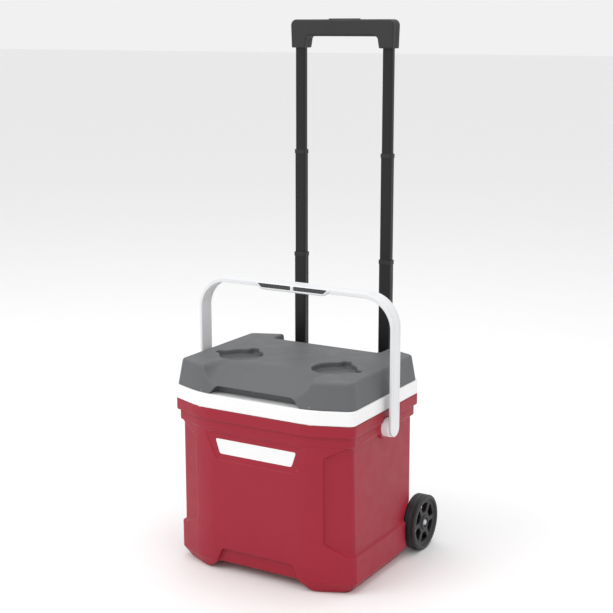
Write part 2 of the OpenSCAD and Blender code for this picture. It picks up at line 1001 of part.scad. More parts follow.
// Space for the tubes, the button and its spring inside the grip
module grip_hollow() {
    on_both_sides()
        tube_block(leg_bottom_z - past, grip_socket_z + gap, upper_size);
    translate([0, tube_y, grip_top - button_travel - 6])
        linear_extrude(2 * button_travel + 6)
            round_rect([2 * button_half_w + 2 * gap, button_d + 2 * gap], 4);
    translate([0, tube_y, spring_z[0]])
        cylinder(h = grip_top - spring_z[0], r = spring_r + 1);
}

module grip_half(y0, y1) {
    difference() {
        along_y(y0, y1)
            grip_outline();
        grip_hollow();
        for (side = both_sides)
            y_rod(tube_y + 5, tube_y + grip_d, side * (leg_inner[1] - 14), bar_under_z + 9, 2.2);
    }
}

module grip_front() color(trim_black) placed()
    grip_half(tube_y - grip_d / 2, tube_y);

module grip_rear() color(trim_black) placed()
    grip_half(tube_y, tube_y + grip_d / 2);

module grip_screws() color(steel) placed() on_both_sides() {
    y_rod(tube_y + 5, tube_y + grip_d / 2 - 2, leg_inner[1] - 14, bar_under_z + 9, 2.2);
}

module release_button() color(trim_black) placed() {
    bottom = grip_top - button_travel + 1.5;
    translate([0, tube_y, bottom])
        linear_extrude(grip_top + button_proud - bottom)
            round_rect([2 * button_half_w, button_d], 4);
    translate([0, tube_y, spring_z[1]])
        cylinder(h = bottom - spring_z[1] + skin, r = spring_r);
}

module button_spring() color(steel) placed() {
    translate([0, tube_y, spring_z[0]])
        difference() {
            cylinder(h = spring_z[1] - spring_z[0], r = spring_r);
            translate([0, 0, -past])
                cylinder(h = spring_z[1], r = spring_r - spring_wire);
        }
}

module wheel_left() wheel(-1);
module wheel_right() wheel(1);
module axle_cap_left() axle_cap(-1);
module axle_cap_right() axle_cap(1);

outer_shell();
inner_liner();
foam_core();
nameplate();
pivot_boss_left();
pivot_boss_right();
hinge_base_left();
hinge_base_right();
hinge_pin_left();
hinge_pin_right();
axle_carrier();
axle();
axle_cap_left();
axle_cap_right();
carrier_screws();
tow_bracket();
bracket_screws();
outer_tube_left();
outer_tube_right();
outer_collar_left();
outer_collar_right();
lid_shell();
lid_liner();
lid_foam();
hinge_leaf_left();
hinge_leaf_right();
bail_handle();
bail_inserts();
bail_clips();
wheel_left();
wheel_right();
lower_tube_left();
lower_tube_right();
lower_collar_left();
lower_collar_right();
lower_shoe_left();
lower_shoe_right();
middle_tube_left();
middle_tube_right();
middle_collar_left();
middle_collar_right();
middle_shoe_left();
middle_shoe_right();
upper_tube_left();
upper_tube_right();
upper_shoe_left();
upper_shoe_right();
grip_front();
grip_rear();
grip_screws();
release_button();
button_spring();
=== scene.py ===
"""Wheeled cooler chest with a swinging bail handle and a telescoping tow handle.

Lengths in the shape functions are in millimetres about the centre of the rim; build()
moves each finished mesh into the row frame, in metres.
"""
import math

import bpy
import numpy as np
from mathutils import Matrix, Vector


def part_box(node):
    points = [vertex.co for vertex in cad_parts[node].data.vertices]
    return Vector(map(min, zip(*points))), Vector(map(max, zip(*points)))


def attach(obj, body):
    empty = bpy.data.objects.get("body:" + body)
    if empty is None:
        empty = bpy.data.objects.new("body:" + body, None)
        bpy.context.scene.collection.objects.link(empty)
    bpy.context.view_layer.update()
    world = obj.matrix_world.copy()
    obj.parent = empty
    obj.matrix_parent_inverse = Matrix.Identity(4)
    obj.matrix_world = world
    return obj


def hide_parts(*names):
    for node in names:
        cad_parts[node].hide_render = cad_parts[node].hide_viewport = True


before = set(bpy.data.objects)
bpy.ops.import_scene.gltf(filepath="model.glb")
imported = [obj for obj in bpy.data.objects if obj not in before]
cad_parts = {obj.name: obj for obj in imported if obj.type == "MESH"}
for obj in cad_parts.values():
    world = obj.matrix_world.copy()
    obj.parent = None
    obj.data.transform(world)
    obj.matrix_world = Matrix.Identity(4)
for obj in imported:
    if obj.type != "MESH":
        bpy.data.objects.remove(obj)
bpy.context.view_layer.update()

MM = 0.001


# --- Places, read from the frame ---------------------------------------------

rim_low, rim_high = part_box("inner_liner")
RIM_Y = (rim_low.y + rim_high.y) / 2


def box_mm(node):
    """Low and high corner of a CAD node in millimetres about the rim's centre."""
    low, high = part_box(node)
    move = np.array([0.0, RIM_Y, 0.0])
    return (np.array(low) - move) / MM, (np.array(high) - move) / MM


SHELL = box_mm("outer_shell")
RIM = box_mm("inner_liner")
LID = box_mm("lid_shell")
PLUG = box_mm("lid_liner")
BAIL = box_mm("bail_handle")
BOSS = box_mm("pivot_boss_right")
WHEEL = box_mm("wheel_right")
CAP = box_mm("axle_cap_right")
CARRIER = box_mm("axle_carrier")
BRACKET = box_mm("tow_bracket")
TUBE = box_mm("outer_tube_right")
UPPER = box_mm("upper_tube_right")
GRIP = box_mm("grip_front")
BUTTON = box_mm("release_button")
PLATE = box_mm("nameplate")
HINGE = box_mm("hinge_pin_right")
HINGE_BASE = box_mm("hinge_base_right")
LEAF = box_mm("hinge_leaf_right")

HALF_W, HALF_D = SHELL[1][0], -SHELL[0][1]
SHELL_TOP = SHELL[1][2]
RIM_TOP = RIM[1][2]
LID_Z, LID_TOP = LID[0][2], LID[1][2]
LID_W, LID_D = LID[1][0], -LID[0][1]
PIVOT_Y = (BOSS[0][1] + BOSS[1][1]) / 2
PIVOT_Z = (BOSS[0][2] + BOSS[1][2]) / 2
BAIL_W, BAIL_TOP = BAIL[1][0], BAIL[1][2]
WHEEL_Y = (WHEEL[0][1] + WHEEL[1][1]) / 2
WHEEL_R = (WHEEL[1][2] - WHEEL[0][2]) / 2
WHEEL_Z = WHEEL[0][2] + WHEEL_R
TUBE_X = (TUBE[0][0] + TUBE[1][0]) / 2
TUBE_Y = (TUBE[0][1] + TUBE[1][1]) / 2
HINGE_X = (HINGE[0][0] + HINGE[1][0]) / 2
HINGE_Y = (HINGE[0][1] + HINGE[1][1]) / 2
HINGE_Z = (HINGE[0][2] + HINGE[1][2]) / 2


# --- Distance fields -----------------------------------------------------------

def both(a, b, r=0.0):
    """Where a and b overlap, with the edge between them rounded to radius r."""
    if r <= 0:
        return np.maximum(a, b)
    round_edge = np.hypot(np.maximum(a + r, 0), np.maximum(b + r, 0))
    return np.minimum(np.maximum(a, b), -r) + round_edge


def either(a, b, r=0.0):
    """a and b joined, with the inside corner between them filleted to radius r."""
    return -both(-a, -b, r)


def cut(a, b, r=0.0):
    """a with b taken away, with the new edge rounded to radius r."""
    return both(a, -b, r)


def slab(v, low, high):
    return np.abs(v - (low + high) / 2) - (high - low) / 2


def blend(z, low, high, a, b):
    """Value that runs from a at height low to b at height high."""
    return a + (b - a) * np.clip((z - low) / (high - low), 0, 1)


def octagon(x, y, half_w, half_d, r=9.0, cut_x=71.0, cut_y=28.5):
    ax, ay = np.abs(x), np.abs(y)
    size = np.hypot(cut_x, cut_y)
    corner = (ax * cut_y + ay * cut_x - half_w * cut_y - (half_d - cut_y) * cut_x) / size
    return both(both(ax - half_w, corner, r), ay - half_d, r)


def trapezoid(u, v, v0, half0, v1, half1, r=0.0):
    """Centred trapezoid in u and v, from half width half0 at v0 to half1 at v1."""
    lean = (half1 - half0) / (v1 - v0)
    side = (np.abs(u) - half0 - (v - v0) * lean) / math.hypot(1, lean)
    return both(slab(v, v0, v1), side, r)


def round_rect(u, v, half_u, half_v, r):
    qu, qv = np.abs(u) - half_u + r, np.abs(v) - half_v + r
    outside = np.hypot(np.maximum(qu, 0), np.maximum(qv, 0))
    return outside + np.minimum(np.maximum(qu, qv), 0) - r


def disc(u, v, r):
    return np.hypot(u, v) - r


# --- Meshing -----------------------------------------------------------------------

BLOCK = 8
AXES = ((1, 0, 0), (0, 1, 0), (0, 0, 1))


def sample(field, low, counts, cell):
    """Field values on a regular grid; far from the surface only their sign is exact."""
    blocks = [int(math.ceil(n / BLOCK)) for n in counts]
    centres = [low[a] + (np.arange(blocks[a]) * BLOCK + (BLOCK - 1) / 2) * cell for a in range(3)]
    cx, cy, cz = np.meshgrid(*centres, indexing="ij")
    coarse = field(cx, cy, cz)
    reach = cell * (BLOCK / 2 + 1) * math.sqrt(3) * 1.3
    near = np.argwhere(np.abs(coarse) < reach)
    grid = np.repeat(np.repeat(np.repeat(coarse, BLOCK, 0), BLOCK, 1), BLOCK, 2).astype(np.float32)
    view = grid.reshape(blocks[0], BLOCK, blocks[1], BLOCK, blocks[2], BLOCK)
    step = np.arange(BLOCK)
    for first in range(0, len(near), 600):
        part = near[first:first + 600]
        px = low[0] + (part[:, 0, None, None, None] * BLOCK + step[None, :, None, None]) * cell
        py = low[1] + (part[:, 1, None, None, None] * BLOCK + step[None, None, :, None]) * cell
        pz = low[2] + (part[:, 2, None, None, None] * BLOCK + step[None, None, None, :]) * cell
        px, py, pz = np.broadcast_arrays(px, py, pz)
        view[part[:, 0], :, part[:, 1], :, part[:, 2], :] = field(px, py, pz)
    return grid


def gradient(field, p, eps):
    out = np.empty_like(p)
    for a in range(3):
        ahead, behind = p.copy(), p.copy()
        ahead[:, a] += eps
        behind[:, a] -= eps
        out[:, a] = field(*ahead.T) - field(*behind.T)
    return out / (2 * eps)


def settle(field, p, cell, rounds):
    """Moves points onto the surface along the field's gradient."""
    for _ in range(rounds):
        here = field(*p.T)
        g = np.empty_like(p)
        for a in range(3):
            ahead = p.copy()
            ahead[:, a] += cell * 0.1
            g[:, a] = (field(*ahead.T) - here) / (cell * 0.1)
        d = here / np.maximum((g * g).sum(1), 0.2)
        p = p - g * np.clip(d, -cell * 0.4, cell * 0.4)[:, None]
    return p


def surface_net(field, low, high, cell):
    """Points and quads of the surface where the field is zero."""
    low = np.array(low, float) - 2.37 * cell
    counts = [int(math.ceil((high[a] - low[a]) / cell)) + 4 for a in range(3)]
    grid = sample(field, low, counts, cell)
    inside = grid < 0
    total = np.zeros([n - 1 for n in grid.shape], np.uint8)
    corners = [(i, j, k) for i in (0, 1) for j in (0, 1) for k in (0, 1)]
    shape = total.shape
    for i, j, k in corners:
        total += inside[i:i + shape[0], j:j + shape[1], k:k + shape[2]]
    cells = np.argwhere((total > 0) & (total < 8))
    values = {c: grid[cells[:, 0] + c[0], cells[:, 1] + c[1], cells[:, 2] + c[2]] for c in corners}
    place = np.zeros((len(cells), 3))
    hits = np.zeros(len(cells))
    for a, axis in enumerate(AXES):
        for c in corners:
            if c[a]:
                continue
            end = tuple(c[n] + axis[n] for n in range(3))
            va, vb = values[c], values[end]
            crosses = (va < 0) != (vb < 0)
            t = np.where(crosses, va / np.where(crosses, va - vb, 1), 0)
            for n in range(3):
                place[:, n] += crosses * (c[n] + t * axis[n])
            hits += crosses
    points = low + (cells + place / hits[:, None]) * cell
    number = np.full(shape, -1, np.int32)
    number[cells[:, 0], cells[:, 1], cells[:, 2]] = np.arange(len(cells))
    quads = []
    for a in range(3):
        b, c = (a + 1) % 3, (a + 2) % 3
        here = [slice(1, s - 1) for s in inside.shape]
        here[a] = slice(0, inside.shape[a] - 1)
        there = list(here)
        there[a] = slice(1, inside.shape[a])
        va, vb = inside[tuple(here)], inside[tuple(there)]
        edges = np.argwhere(va != vb)
        outward = va[edges[:, 0], edges[:, 1], edges[:, 2]]
        base = edges.copy()
        base[:, b] += 1
        base[:, c] += 1
        ring = []
        for db, dc in ((-1, -1), (0, -1), (0, 0), (-1, 0)):
            at = base.copy()
            at[:, b] += db
            at[:, c] += dc
            ring.append(number[at[:, 0], at[:, 1], at[:, 2]])
        ring = np.stack(ring, 1)
        ring[~outward] = ring[~outward][:, ::-1]
        quads.append(ring)
    return settle(field, points, cell, 1), np.concatenate(quads)


def mesh_from(name, points, faces):
    mesh = bpy.data.meshes.new(name)
    size = faces.shape[1]
    mesh.vertices.add(len(points))
    mesh.vertices.foreach_set("co", points.astype(np.float32).ravel())
    mesh.loops.add(faces.size)
    mesh.loops.foreach_set("vertex_index", faces.astype(np.int32).ravel())
    mesh.polygons.add(len(faces))
    mesh.polygons.foreach_set("loop_start", np.arange(len(faces), dtype=np.int32) * size)
    mesh.update(calc_edges=True)
    mesh.validate()
    return mesh


def thinned(mesh, keep):
    """The mesh with only a share of its triangles, fewest where it is flat."""
    scratch = bpy.data.objects.new("scratch", mesh)
    bpy.context.scene.collection.objects.link(scratch)
    modifier = scratch.modifiers.new("thin", "DECIMATE")
    modifier.ratio = keep
    graph = bpy.context.evaluated_depsgraph_get()
    out = bpy.data.meshes.new_from_object(scratch.evaluated_get(graph))
    bpy.data.objects.remove(scratch)
    bpy.data.meshes.remove(mesh)
    return out


def build(name, field, low, high, cell, body, slot, replaced, material, keep=0.3):
    """Meshes a field and makes it a piece that rides on a body and stands for CAD nodes."""
    points, quads = surface_net(field, low, high, cell)
    mesh = thinned(mesh_from(name, points, quads), keep)
    co = np.empty(len(mesh.vertices) * 3, np.float32)
    mesh.vertices.foreach_get("co", co)
    co = settle(field, co.reshape(-1, 3).astype(float), cell, 2)
    normals = gradient(field, co, cell * 0.3)
    normals /= np.maximum(np.linalg.norm(normals, axis=1), 1e-6)[:, None]
    co = (co + [0, RIM_Y / MM, 0]) * MM
    mesh.vertices.foreach_set("co", co.astype(np.float32).ravel())
    mesh.polygons.foreach_set("use_smooth", np.ones(len(mesh.polygons), bool))
    mesh.update()
    mesh.normals_split_custom_set_from_vertices(normals.tolist())
    mesh.materials.clear()
    mesh.materials.append(material)
    piece = bpy.data.objects.new(name, mesh)
    bpy.context.scene.collection.objects.link(piece)
    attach(piece, body)
    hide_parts(*replaced)
    return piece


# --- Materials -----------------------------------------------------------------------

def linear(rgb):
    """Linear colour of an 8-bit sRGB colour."""
    out = [((c / 255 + 0.055) / 1.055) ** 2.4 if c > 10 else c / 3294.6 for c in rgb]
    return (*out, 1.0)


def moulded(name, rgb, rough=0.45, grain=900.0, bump=0.08, wear=0.5, tint=0.03, spec=0.5, coat=0.0):
    """Moulded plastic: fine grain, slow colour drift, scuffed lighter edges."""
    material = bpy.data.materials.new(name)
    material.use_nodes = True
    tree = material.node_tree
    nodes, links = tree.nodes, tree.links
    shader = nodes["Principled BSDF"]
    where = nodes.new("ShaderNodeTexCoord").outputs["Object"]
    base = linear(rgb)

    def noise(scale, detail=4.0, roughness=0.55):
        node = nodes.new("ShaderNodeTexNoise")
        node.inputs["Scale"].default_value = scale
        node.inputs["Detail"].default_value = detail
        node.inputs["Roughness"].default_value = roughness
        links.new(where, node.inputs["Vector"])
        return node.outputs["Fac"]

    def remap(value, low, high, to_low, to_high):
        node = nodes.new("ShaderNodeMapRange")
        node.inputs["From Min"].default_value = low
        node.inputs["From Max"].default_value = high
        node.inputs["To Min"].default_value = to_low
        node.inputs["To Max"].default_value = to_high
        links.new(value, node.inputs["Value"])
        return node.outputs["Result"]

    def mix(fac, a, b):
        node = nodes.new("ShaderNodeMix")
        node.data_type = "RGBA"
        links.new(fac, node.inputs["Factor"])
        for socket, colour in ((node.inputs["A"], a), (node.inputs["B"], b)):
            if isinstance(colour, tuple):
                socket.default_value = colour
            else:
                links.new(colour, socket)
        return node.outputs["Result"]

    def shade(amount):
        return (*[min(1.0, c * (1 + amount)) for c in base[:3]], 1.0)

    drift = mix(remap(noise(9.0, 3.0), 0.3, 0.7, 0, 1), shade(-tint), shade(tint))
    fleck = remap(noise(grain * 0.55, 2.0), 0.35, 0.75, 0, 1)
    speckled = mix(remap(fleck, 0, 1, 0, 0.35), drift, shade(-2.2 * tint))
    geometry = nodes.new("ShaderNodeNewGeometry")
    edge = remap(geometry.outputs["Pointiness"], 0.53, 0.62, 0, 1)
    scuffed = nodes.new("ShaderNodeMath")
    scuffed.operation = "MULTIPLY"
    links.new(edge, scuffed.inputs[0])
    links.new(remap(noise(60.0, 5.0), 0.38, 0.62, 0, wear), scuffed.inputs[1])
    lighter = tuple(c + (0.9 - c) * 0.16 for c in base[:3]) + (1.0,)
    links.new(mix(scuffed.outputs[0], speckled, lighter), shader.inputs["Base Color"])

    patch = remap(noise(34.0, 5.0), 0.3, 0.7, rough - 0.06, rough + 0.06)
    fine = remap(noise(grain, 3.0), 0.3, 0.7, -0.04, 0.04)
    total = nodes.new("ShaderNodeMath")
    total.operation = "ADD"
    links.new(patch, total.inputs[0])
    links.new(fine, total.inputs[1])
    links.new(total.outputs[0], shader.inputs["Roughness"])

    grains = nodes.new("ShaderNodeBump")
    grains.inputs["Strength"].default_value = bump
    grains.inputs["Distance"].default_value = 0.0004
    links.new(noise(grain, 4.0, 0.6), grains.inputs["Height"])
    waves = nodes.new("ShaderNodeBump")
    waves.inputs["Strength"].default_value = 0.05
    waves.inputs["Distance"].default_value = 0.002
    links.new(noise(22.0, 2.0), waves.inputs["Height"])
    links.new(waves.outputs["Normal"], grains.inputs["Normal"])
    links.new(grains.outputs["Normal"], shader.inputs["Normal"])
    shader.inputs["Specular IOR Level"].default_value = spec
    shader.inputs["Coat Weight"].default_value = coat
    return material


def metal(name, rgb, rough=0.3, metallic=1.0, grain=600.0):
    """Drawn or plated metal: brushed grain, slight stains, uneven gloss."""
    material = moulded(name, rgb, rough, grain, 0.05, 0.2, 0.04)
    material.node_tree.nodes["Principled BSDF"].inputs["Metallic"].default_value = metallic
    return material


red = moulded("shell_red", (152, 18, 42), 0.42, 1100, 0.10, 0.5, 0.03, 0.35)
white = moulded("rim_white", (238, 238, 238), 0.40, 1100, 0.08, 0.2, 0.015)
grey = moulded("lid_grey", (94, 96, 98), 0.52, 900, 0.16, 0.4, 0.03, 0.4)
# The bail's white is set greyer than the rim's white. This is painted shade standing in for the shade on the
# bail's front faces; the plastic itself is white.
bail_white_painted_shade = moulded("bail_white_painted_shade", (224, 225, 227), 0.40, 1000, 0.06, 0.2, 0.015)
trim = moulded("trim_black", (34, 34, 36), 0.50, 800, 0.16, 0.4, 0.05, 0.4)
grip_black = moulded("grip_black", (40, 40, 42), 0.55, 420, 0.30, 0.4, 0.05, 0.4)
wheel_black = moulded("wheel_black", (42, 43, 45), 0.52, 700, 0.20, 0.6, 0.05, 0.45)
insert = moulded("insert_grey", (66, 66, 68), 0.62, 500, 0.30, 0.3, 0.05)
tube_black = moulded("tube_black", (22, 22, 23), 0.38, 1400, 0.05, 0.0, 0.015, 0.35)
steel = metal("steel", (196, 198, 202), 0.28, 1.0, 700)
foam = moulded("foam", (233, 224, 180), 0.85, 300, 0.5, 0.1, 0.05)


# --- Chest -----------------------------------------------------------------------------

WALL = 3.0
BAND_HIGH, BAND_LOW, SKIRT = 287.0, 268.0, 20.0
BAND_IN, RECESS = 4.5, 4.5
CORNER_R, EDGE_R = 9.0, 3.0
HOUSING_R, HOUSING_IN = 22.0, 2.0
FOOT_W, FOOT_D = HALF_W - 16.5, HALF_D - 18
SKIRT_W, SKIRT_D = HALF_W - 1, HALF_D - 11
WALL_W, WALL_D = HALF_W - BAND_IN, HALF_D - BAND_IN - 1.5


def side_window(x, z):
    """Recess of the side panels, seen from the front."""
    ax = np.abs(x)
    rise = 21 * np.clip((HALF_W - 12 - ax) / 40, 0, 1)
    window = both(HALF_W - 52 - ax, (70 + rise - z) / 1.11, 5)
    return both(window, (z - BAND_LOW + rise) / 1.11, 5)


def pivot_housing(x, y, z):
    """Rounded block of the shell round each bail pivot, up to the wide band."""
    round_end = np.hypot(y - PIVOT_Y, np.minimum(z - PIVOT_Z, 0)) - HOUSING_R
    block = both(round_end, z - BAND_HIGH - 8, 0)
    depth = 20
    return both(block, np.abs(np.abs(x) - HALF_W + HOUSING_IN + depth) - depth, 2.5)


def shell_outside(x, y, z):
    half_w = np.where(z < SKIRT, blend(z, 0, SKIRT, FOOT_W, SKIRT_W),
                      blend(z, SKIRT, BAND_LOW, SKIRT_W, WALL_W))
    half_d = np.where(z < SKIRT, blend(z, 0, SKIRT, FOOT_D, SKIRT_D),
                      blend(z, SKIRT, BAND_LOW, SKIRT_D, WALL_D))
    cut_x = blend(z, 0, SKIRT, 59.0, 71.0)
    wall = octagon(x, y, half_w, half_d, CORNER_R, cut_x)
    inner = octagon(x, y, half_w - RECESS, half_d - RECESS, 8, cut_x)
    wall = cut(wall, both(side_window(x, z), -inner, 4), 2.4)
    wall = both(wall, z - BAND_LOW - 14, 1)
    low_band = both(octagon(x, y, HALF_W - BAND_IN, HALF_D - BAND_IN),
                    slab(z, BAND_LOW, BAND_HIGH + 14), 1.5)
    high_band = both(octagon(x, y, HALF_W, HALF_D), slab(z, BAND_HIGH, SHELL_TOP + 20), 2.2)
    body = either(either(wall, low_band, 0.8), pivot_housing(x, y, z), 3)
    return both(either(body, high_band, 1.5), -z, EDGE_R)


RAMP_Y, RAMP_SLOPE = 73.0, 24.0 / 39
WELL_IN, WELL_GAP = 16.0, 8.0
ARCH_TOP, ARCH_HALF, ARCH_LEAN = 16.0, 85.0, 23 / 16
TOE_TOP, TOE_HALF, TOE_DEPTH = 45.0, 73.0, 8.5
PLATE_LOW, PLATE_HIGH, PLATE_DEPTH = (214.0, 80.0), (263.0, 104.0), 4.0
BELOW = -30.0  # well under the ground, where a cut from below starts


def shell_cuts(x, y, z):
    """Ramp and beam seat, wheel well, arch, toe pocket, plate recess and boss seat."""
    ax = np.abs(x)
    ramp = (z - (y - RAMP_Y) * RAMP_SLOPE) / math.hypot(1, RAMP_SLOPE)
    rear = both(CARRIER[0][1] - y, z - CARRIER[1][2], 3)
    low = either(ramp, rear, 2)
    wheel_disc = disc(y - WHEEL_Y, z - WHEEL_Z, WHEEL_R + WELL_GAP)
    well = both(HALF_W - WELL_IN - ax, wheel_disc, 2)
    arch_foot = 108 - BELOW * ARCH_LEAN
    arch = trapezoid(x, z, BELOW, arch_foot, ARCH_TOP, ARCH_HALF, 3)
    toe = trapezoid(x, z, BELOW, 107, TOE_TOP, TOE_HALF, 5)
    toe = both(toe, y + SKIRT_D - TOE_DEPTH, 2.5)
    plate_in = HALF_D - BAND_IN - PLATE_DEPTH
    plate = trapezoid(x, z, *PLATE_LOW, *PLATE_HIGH, 4)
    plate = both(plate, y + plate_in, 1)
    seat = both(BOSS[0][0] - ax, disc(y - PIVOT_Y, z - PIVOT_Z, 17.4), 0.5)
    return low, well, arch, toe, plate, seat


def shell(x, y, z):
    body = shell_outside(x, y, z)
    for pocket, r in zip(shell_cuts(x, y, z), (3, 2.5, 3, 3, 1.6, 1)):
        body = cut(body, pocket, r)
    body = np.abs(body + WALL / 2) - WALL / 2
    stud = both(150 - np.abs(x), disc(y - PIVOT_Y, z - PIVOT_Z, 8.5), 0.5)
    body = cut(body, stud, 0.5)
    return both(body, z - SHELL_TOP, 1.2)


def plate(x, y, z):
    face = trapezoid(x, z, PLATE[0][2] + 3, 74, PLATE[1][2] - 2, 83, 4)
    return both(face, slab(y, PLATE[0][1], PLATE[1][1]), 0.9)


TUB_FLOOR, TUB_WALL = 44.0, 2.5
FLOOR_HALF, MOUTH_HALF = (142.0, 111.0), (150.0, 119.0)
STEP_Y, STEP_Z = 84.0, 112.0  # lower rear corner of the tub, raised over the axle


def tub_space(x, y, z):
    half_w = blend(z, TUB_FLOOR, RIM_TOP, FLOOR_HALF[0], MOUTH_HALF[0])
    half_d = blend(z, TUB_FLOOR, RIM_TOP, FLOOR_HALF[1], MOUTH_HALF[1])
    space = both(octagon(x, y, half_w, half_d, 12), TUB_FLOOR - z, 12)
    step = both(STEP_Y - y, z - STEP_Z, 8)
    return cut(space, step, 10)


def liner(x, y, z):
    rim = both(octagon(x, y, HALF_W, HALF_D), slab(z, SHELL_TOP, RIM_TOP), 2.4)
    hollow = both(octagon(x, y, HALF_W - WALL, HALF_D - WALL, 6), z - RIM_TOP + WALL, 1)
    rim = cut(rim, hollow, 0.8)
    tub = both(tub_space(x, y, z) - TUB_WALL, z - RIM_TOP + WALL, 0.5)
    return cut(either(rim, tub, 1), tub_space(x, y, z), 3)


# --- Lid ---------------------------------------------------------------------------------

HOLDER_X, HOLDER_Y, HOLDER_R, HOLDER_Z = 97.0, -38.0, 40.0, LID_TOP - 12
EAR_HALF, EAR_REACH = 9.0, 13.0
FASCIA_Y, FASCIA_SLOPE = -85.0, 30.0 / 67  # sloping front between the two corner pads
FASCIA_LOW_Z, FASCIA_LOW, FASCIA_HIGH = 350.0, 98.0, 110.0
NOTCH_Y, NOTCH_HALF, NOTCH_FLOOR, FLANGE_Y = 100.0, 114.0, LID_Z + 12, 147.0
PULL_HALF, PULL_H, PULL_DEPTH = 78.0, 15.0, 20.0


def lid_outside(x, y, z):
    ax = np.abs(x)
    lean = (z, LID_Z - 40, LID_TOP - 6)
    half_w = blend(*lean, LID_W + 5.2, LID_W - 5.5)
    half_d = blend(*lean, LID_D + 5.2, LID_D - 5.5)
    body = both(octagon(x, y, half_w, half_d, 11), z - LID_TOP, 6)
    above = ((LID_TOP - z) + (y - FASCIA_Y) * FASCIA_SLOPE) / math.hypot(1, FASCIA_SLOPE)
    beside = (ax - blend(z, FASCIA_LOW_Z, LID_TOP, FASCIA_LOW, FASCIA_HIGH)) / 1.08
    body = cut(body, both(above, beside, 20), 5)
    notch = both(both(NOTCH_Y - y, ax - NOTCH_HALF, 8), NOTCH_FLOOR - z, 4)
    body = cut(body, notch, 4)
    behind = both(both(FLANGE_Y - y, ax - NOTCH_HALF, 2), -z, 0)
    body = cut(body, behind, 2)
    hx, hy = ax - HOLDER_X, y - HOLDER_Y
    holder = disc(hx, hy, HOLDER_R)
    rear_ear = both(np.abs(hx) - EAR_HALF, slab(hy, 0, HOLDER_R + EAR_REACH), 7)
    side_ear = both(np.abs(hy) - EAR_HALF, slab(hx, 0, HOLDER_R + EAR_REACH), 7)
    holder = either(either(holder, rear_ear, 8), side_ear, 8)
    body = cut(body, both(holder, HOLDER_Z - z, 4), 2.5)
    pull = trapezoid(x, z, LID_Z - 20, 110, LID_Z + PULL_H, PULL_HALF, 4)
    return cut(body, both(pull, y + LID_D - PULL_DEPTH, 3), 2)


def lid(x, y, z):
    body = lid_outside(x, y, z)
    body = np.abs(body + WALL / 2) - WALL / 2
    return both(body, LID_Z - z, 1)


PLUG_W, PLUG_D = MOUTH_HALF[0] - 3, MOUTH_HALF[1] - 3


def lid_plug(x, y, z):
    skirt = both(octagon(x, y, PLUG[1][0], PLUG[1][1]), slab(z, PLUG[0][2], PLUG[1][2]), 0)
    lid_in = lid_outside(x, y, z) + WALL + 0.1
    panel = both(octagon(x, y, LID_W - 4, LID_D - 4), lid_in, 0.5)
    panel = both(panel, slab(z, LID_Z + 0.2, LID_Z + 2.5), 0.8)
    plug = both(octagon(x, y, PLUG_W, PLUG_D, 12), slab(z, PLUG[0][2], LID_Z + 1), 5)
    hollow = octagon(x, y, PLUG_W - TUB_WALL, PLUG_D - TUB_WALL, 10)
    hollow = both(hollow, slab(z, PLUG[0][2] + TUB_WALL, LID_Z + 20), 3)
    return both(cut(either(panel, plug, 2), hollow, 0.5), skirt, 0)


# --- Bail ---------------------------------------------------------------------------------

def arch_gap(x, z, half_w, top, r):
    qx, qz = np.abs(x) - half_w + r, z - top + r
    return np.hypot(np.maximum(qx, 0), np.maximum(qz, 0)) + np.minimum(np.maximum(qx, qz), 0) - r


STRIP_HALF, LIP_HALF = 16.0, 18.0
ARM_T, BAR_T, BAIL_R, BAIL_IN_R = 5.0, 8.0, 60.0, 53.5
SLOT_END, SLOT_LOW, SLOT_HIGH = 72.0, BAIL_TOP - 9, BAIL_TOP - 1.6
STUD_R, STUD_IN = 8.0, 158.0


def grip_slot(x, y, z, depth):
    """Slots for the grip's inserts: front and rear, left and right of a middle rib."""
    ax = np.abs(x)
    lean = (ax - SLOT_END + (SLOT_HIGH - z) * 1.08) / 1.47
    face = both(both(3 - ax, slab(z, SLOT_LOW, SLOT_HIGH), 0.8), lean, 0.8)
    return both(face, LIP_HALF - depth - np.abs(y - PIVOT_Y), 0.3)


def bail(x, y, z):
    outer = arch_gap(x, z, BAIL_W, BAIL_TOP, BAIL_R)
    inner = arch_gap(x, z, BAIL_W - ARM_T, BAIL_TOP - BAR_T, BAIL_IN_R)
    ring = np.maximum(outer, -inner)
    across = y - PIVOT_Y
    strip = np.hypot(across, np.minimum(z - PIVOT_Z, 0)) - STRIP_HALF
    body = both(ring, strip, 1.2)
    away = np.maximum(300 - z, 88 - np.abs(x))  # clear of the pivots and the grip
    channel = both(both(np.abs(across) - 11, inner - 1.5, 0.6), away, 3)
    body = cut(body, channel, 0.7)
    lines = both(both(np.abs(np.abs(across) - 9.5) - 1.1, -outer - 0.8, 0.3), away, 3)
    body = cut(body, lines, 0.4)
    lip = trapezoid(x, z, BAIL_TOP - 13, 66, BAIL_TOP, 80, 4)
    lip = both(lip, np.abs(across) - LIP_HALF, 2.6)
    body = either(body, lip, 1.5)
    body = cut(body, grip_slot(x, y, z, 4), 0.5)
    stud = both(disc(across, z - PIVOT_Z, STUD_R), slab(np.abs(x), STUD_IN, BAIL_W - 3), 0.8)
    return either(body, stud, 1)


def bail_inserts(x, y, z):
    body = grip_slot(x, y, z, 3.6) + 0.1
    body = both(body, np.abs(y - PIVOT_Y) - LIP_HALF + 0.8, 0.5)
    groove = np.abs(np.mod(np.abs(x), 6) - 3) - 0.9
    return cut(body, both(groove, LIP_HALF - 1.5 - np.abs(y - PIVOT_Y), 0.2), 0.3)


def boss(x, y, z):
    ax = np.abs(x)
    out = disc(y - PIVOT_Y, z - PIVOT_Z, 0)
    body = both(out - 17, slab(ax, BOSS[0][0], BOSS[1][0]), 2)
    ring = both(np.abs(out - 13) - 0.8, BOSS[1][0] - 1 - ax, 0.2)
    body = cut(body, ring, 0.3)
    return cut(body, both(out - STUD_R - 0.1, slab(ax, 150, 210), 0), 0.5)


# --- Wheels -------------------------------------------------------------------------------

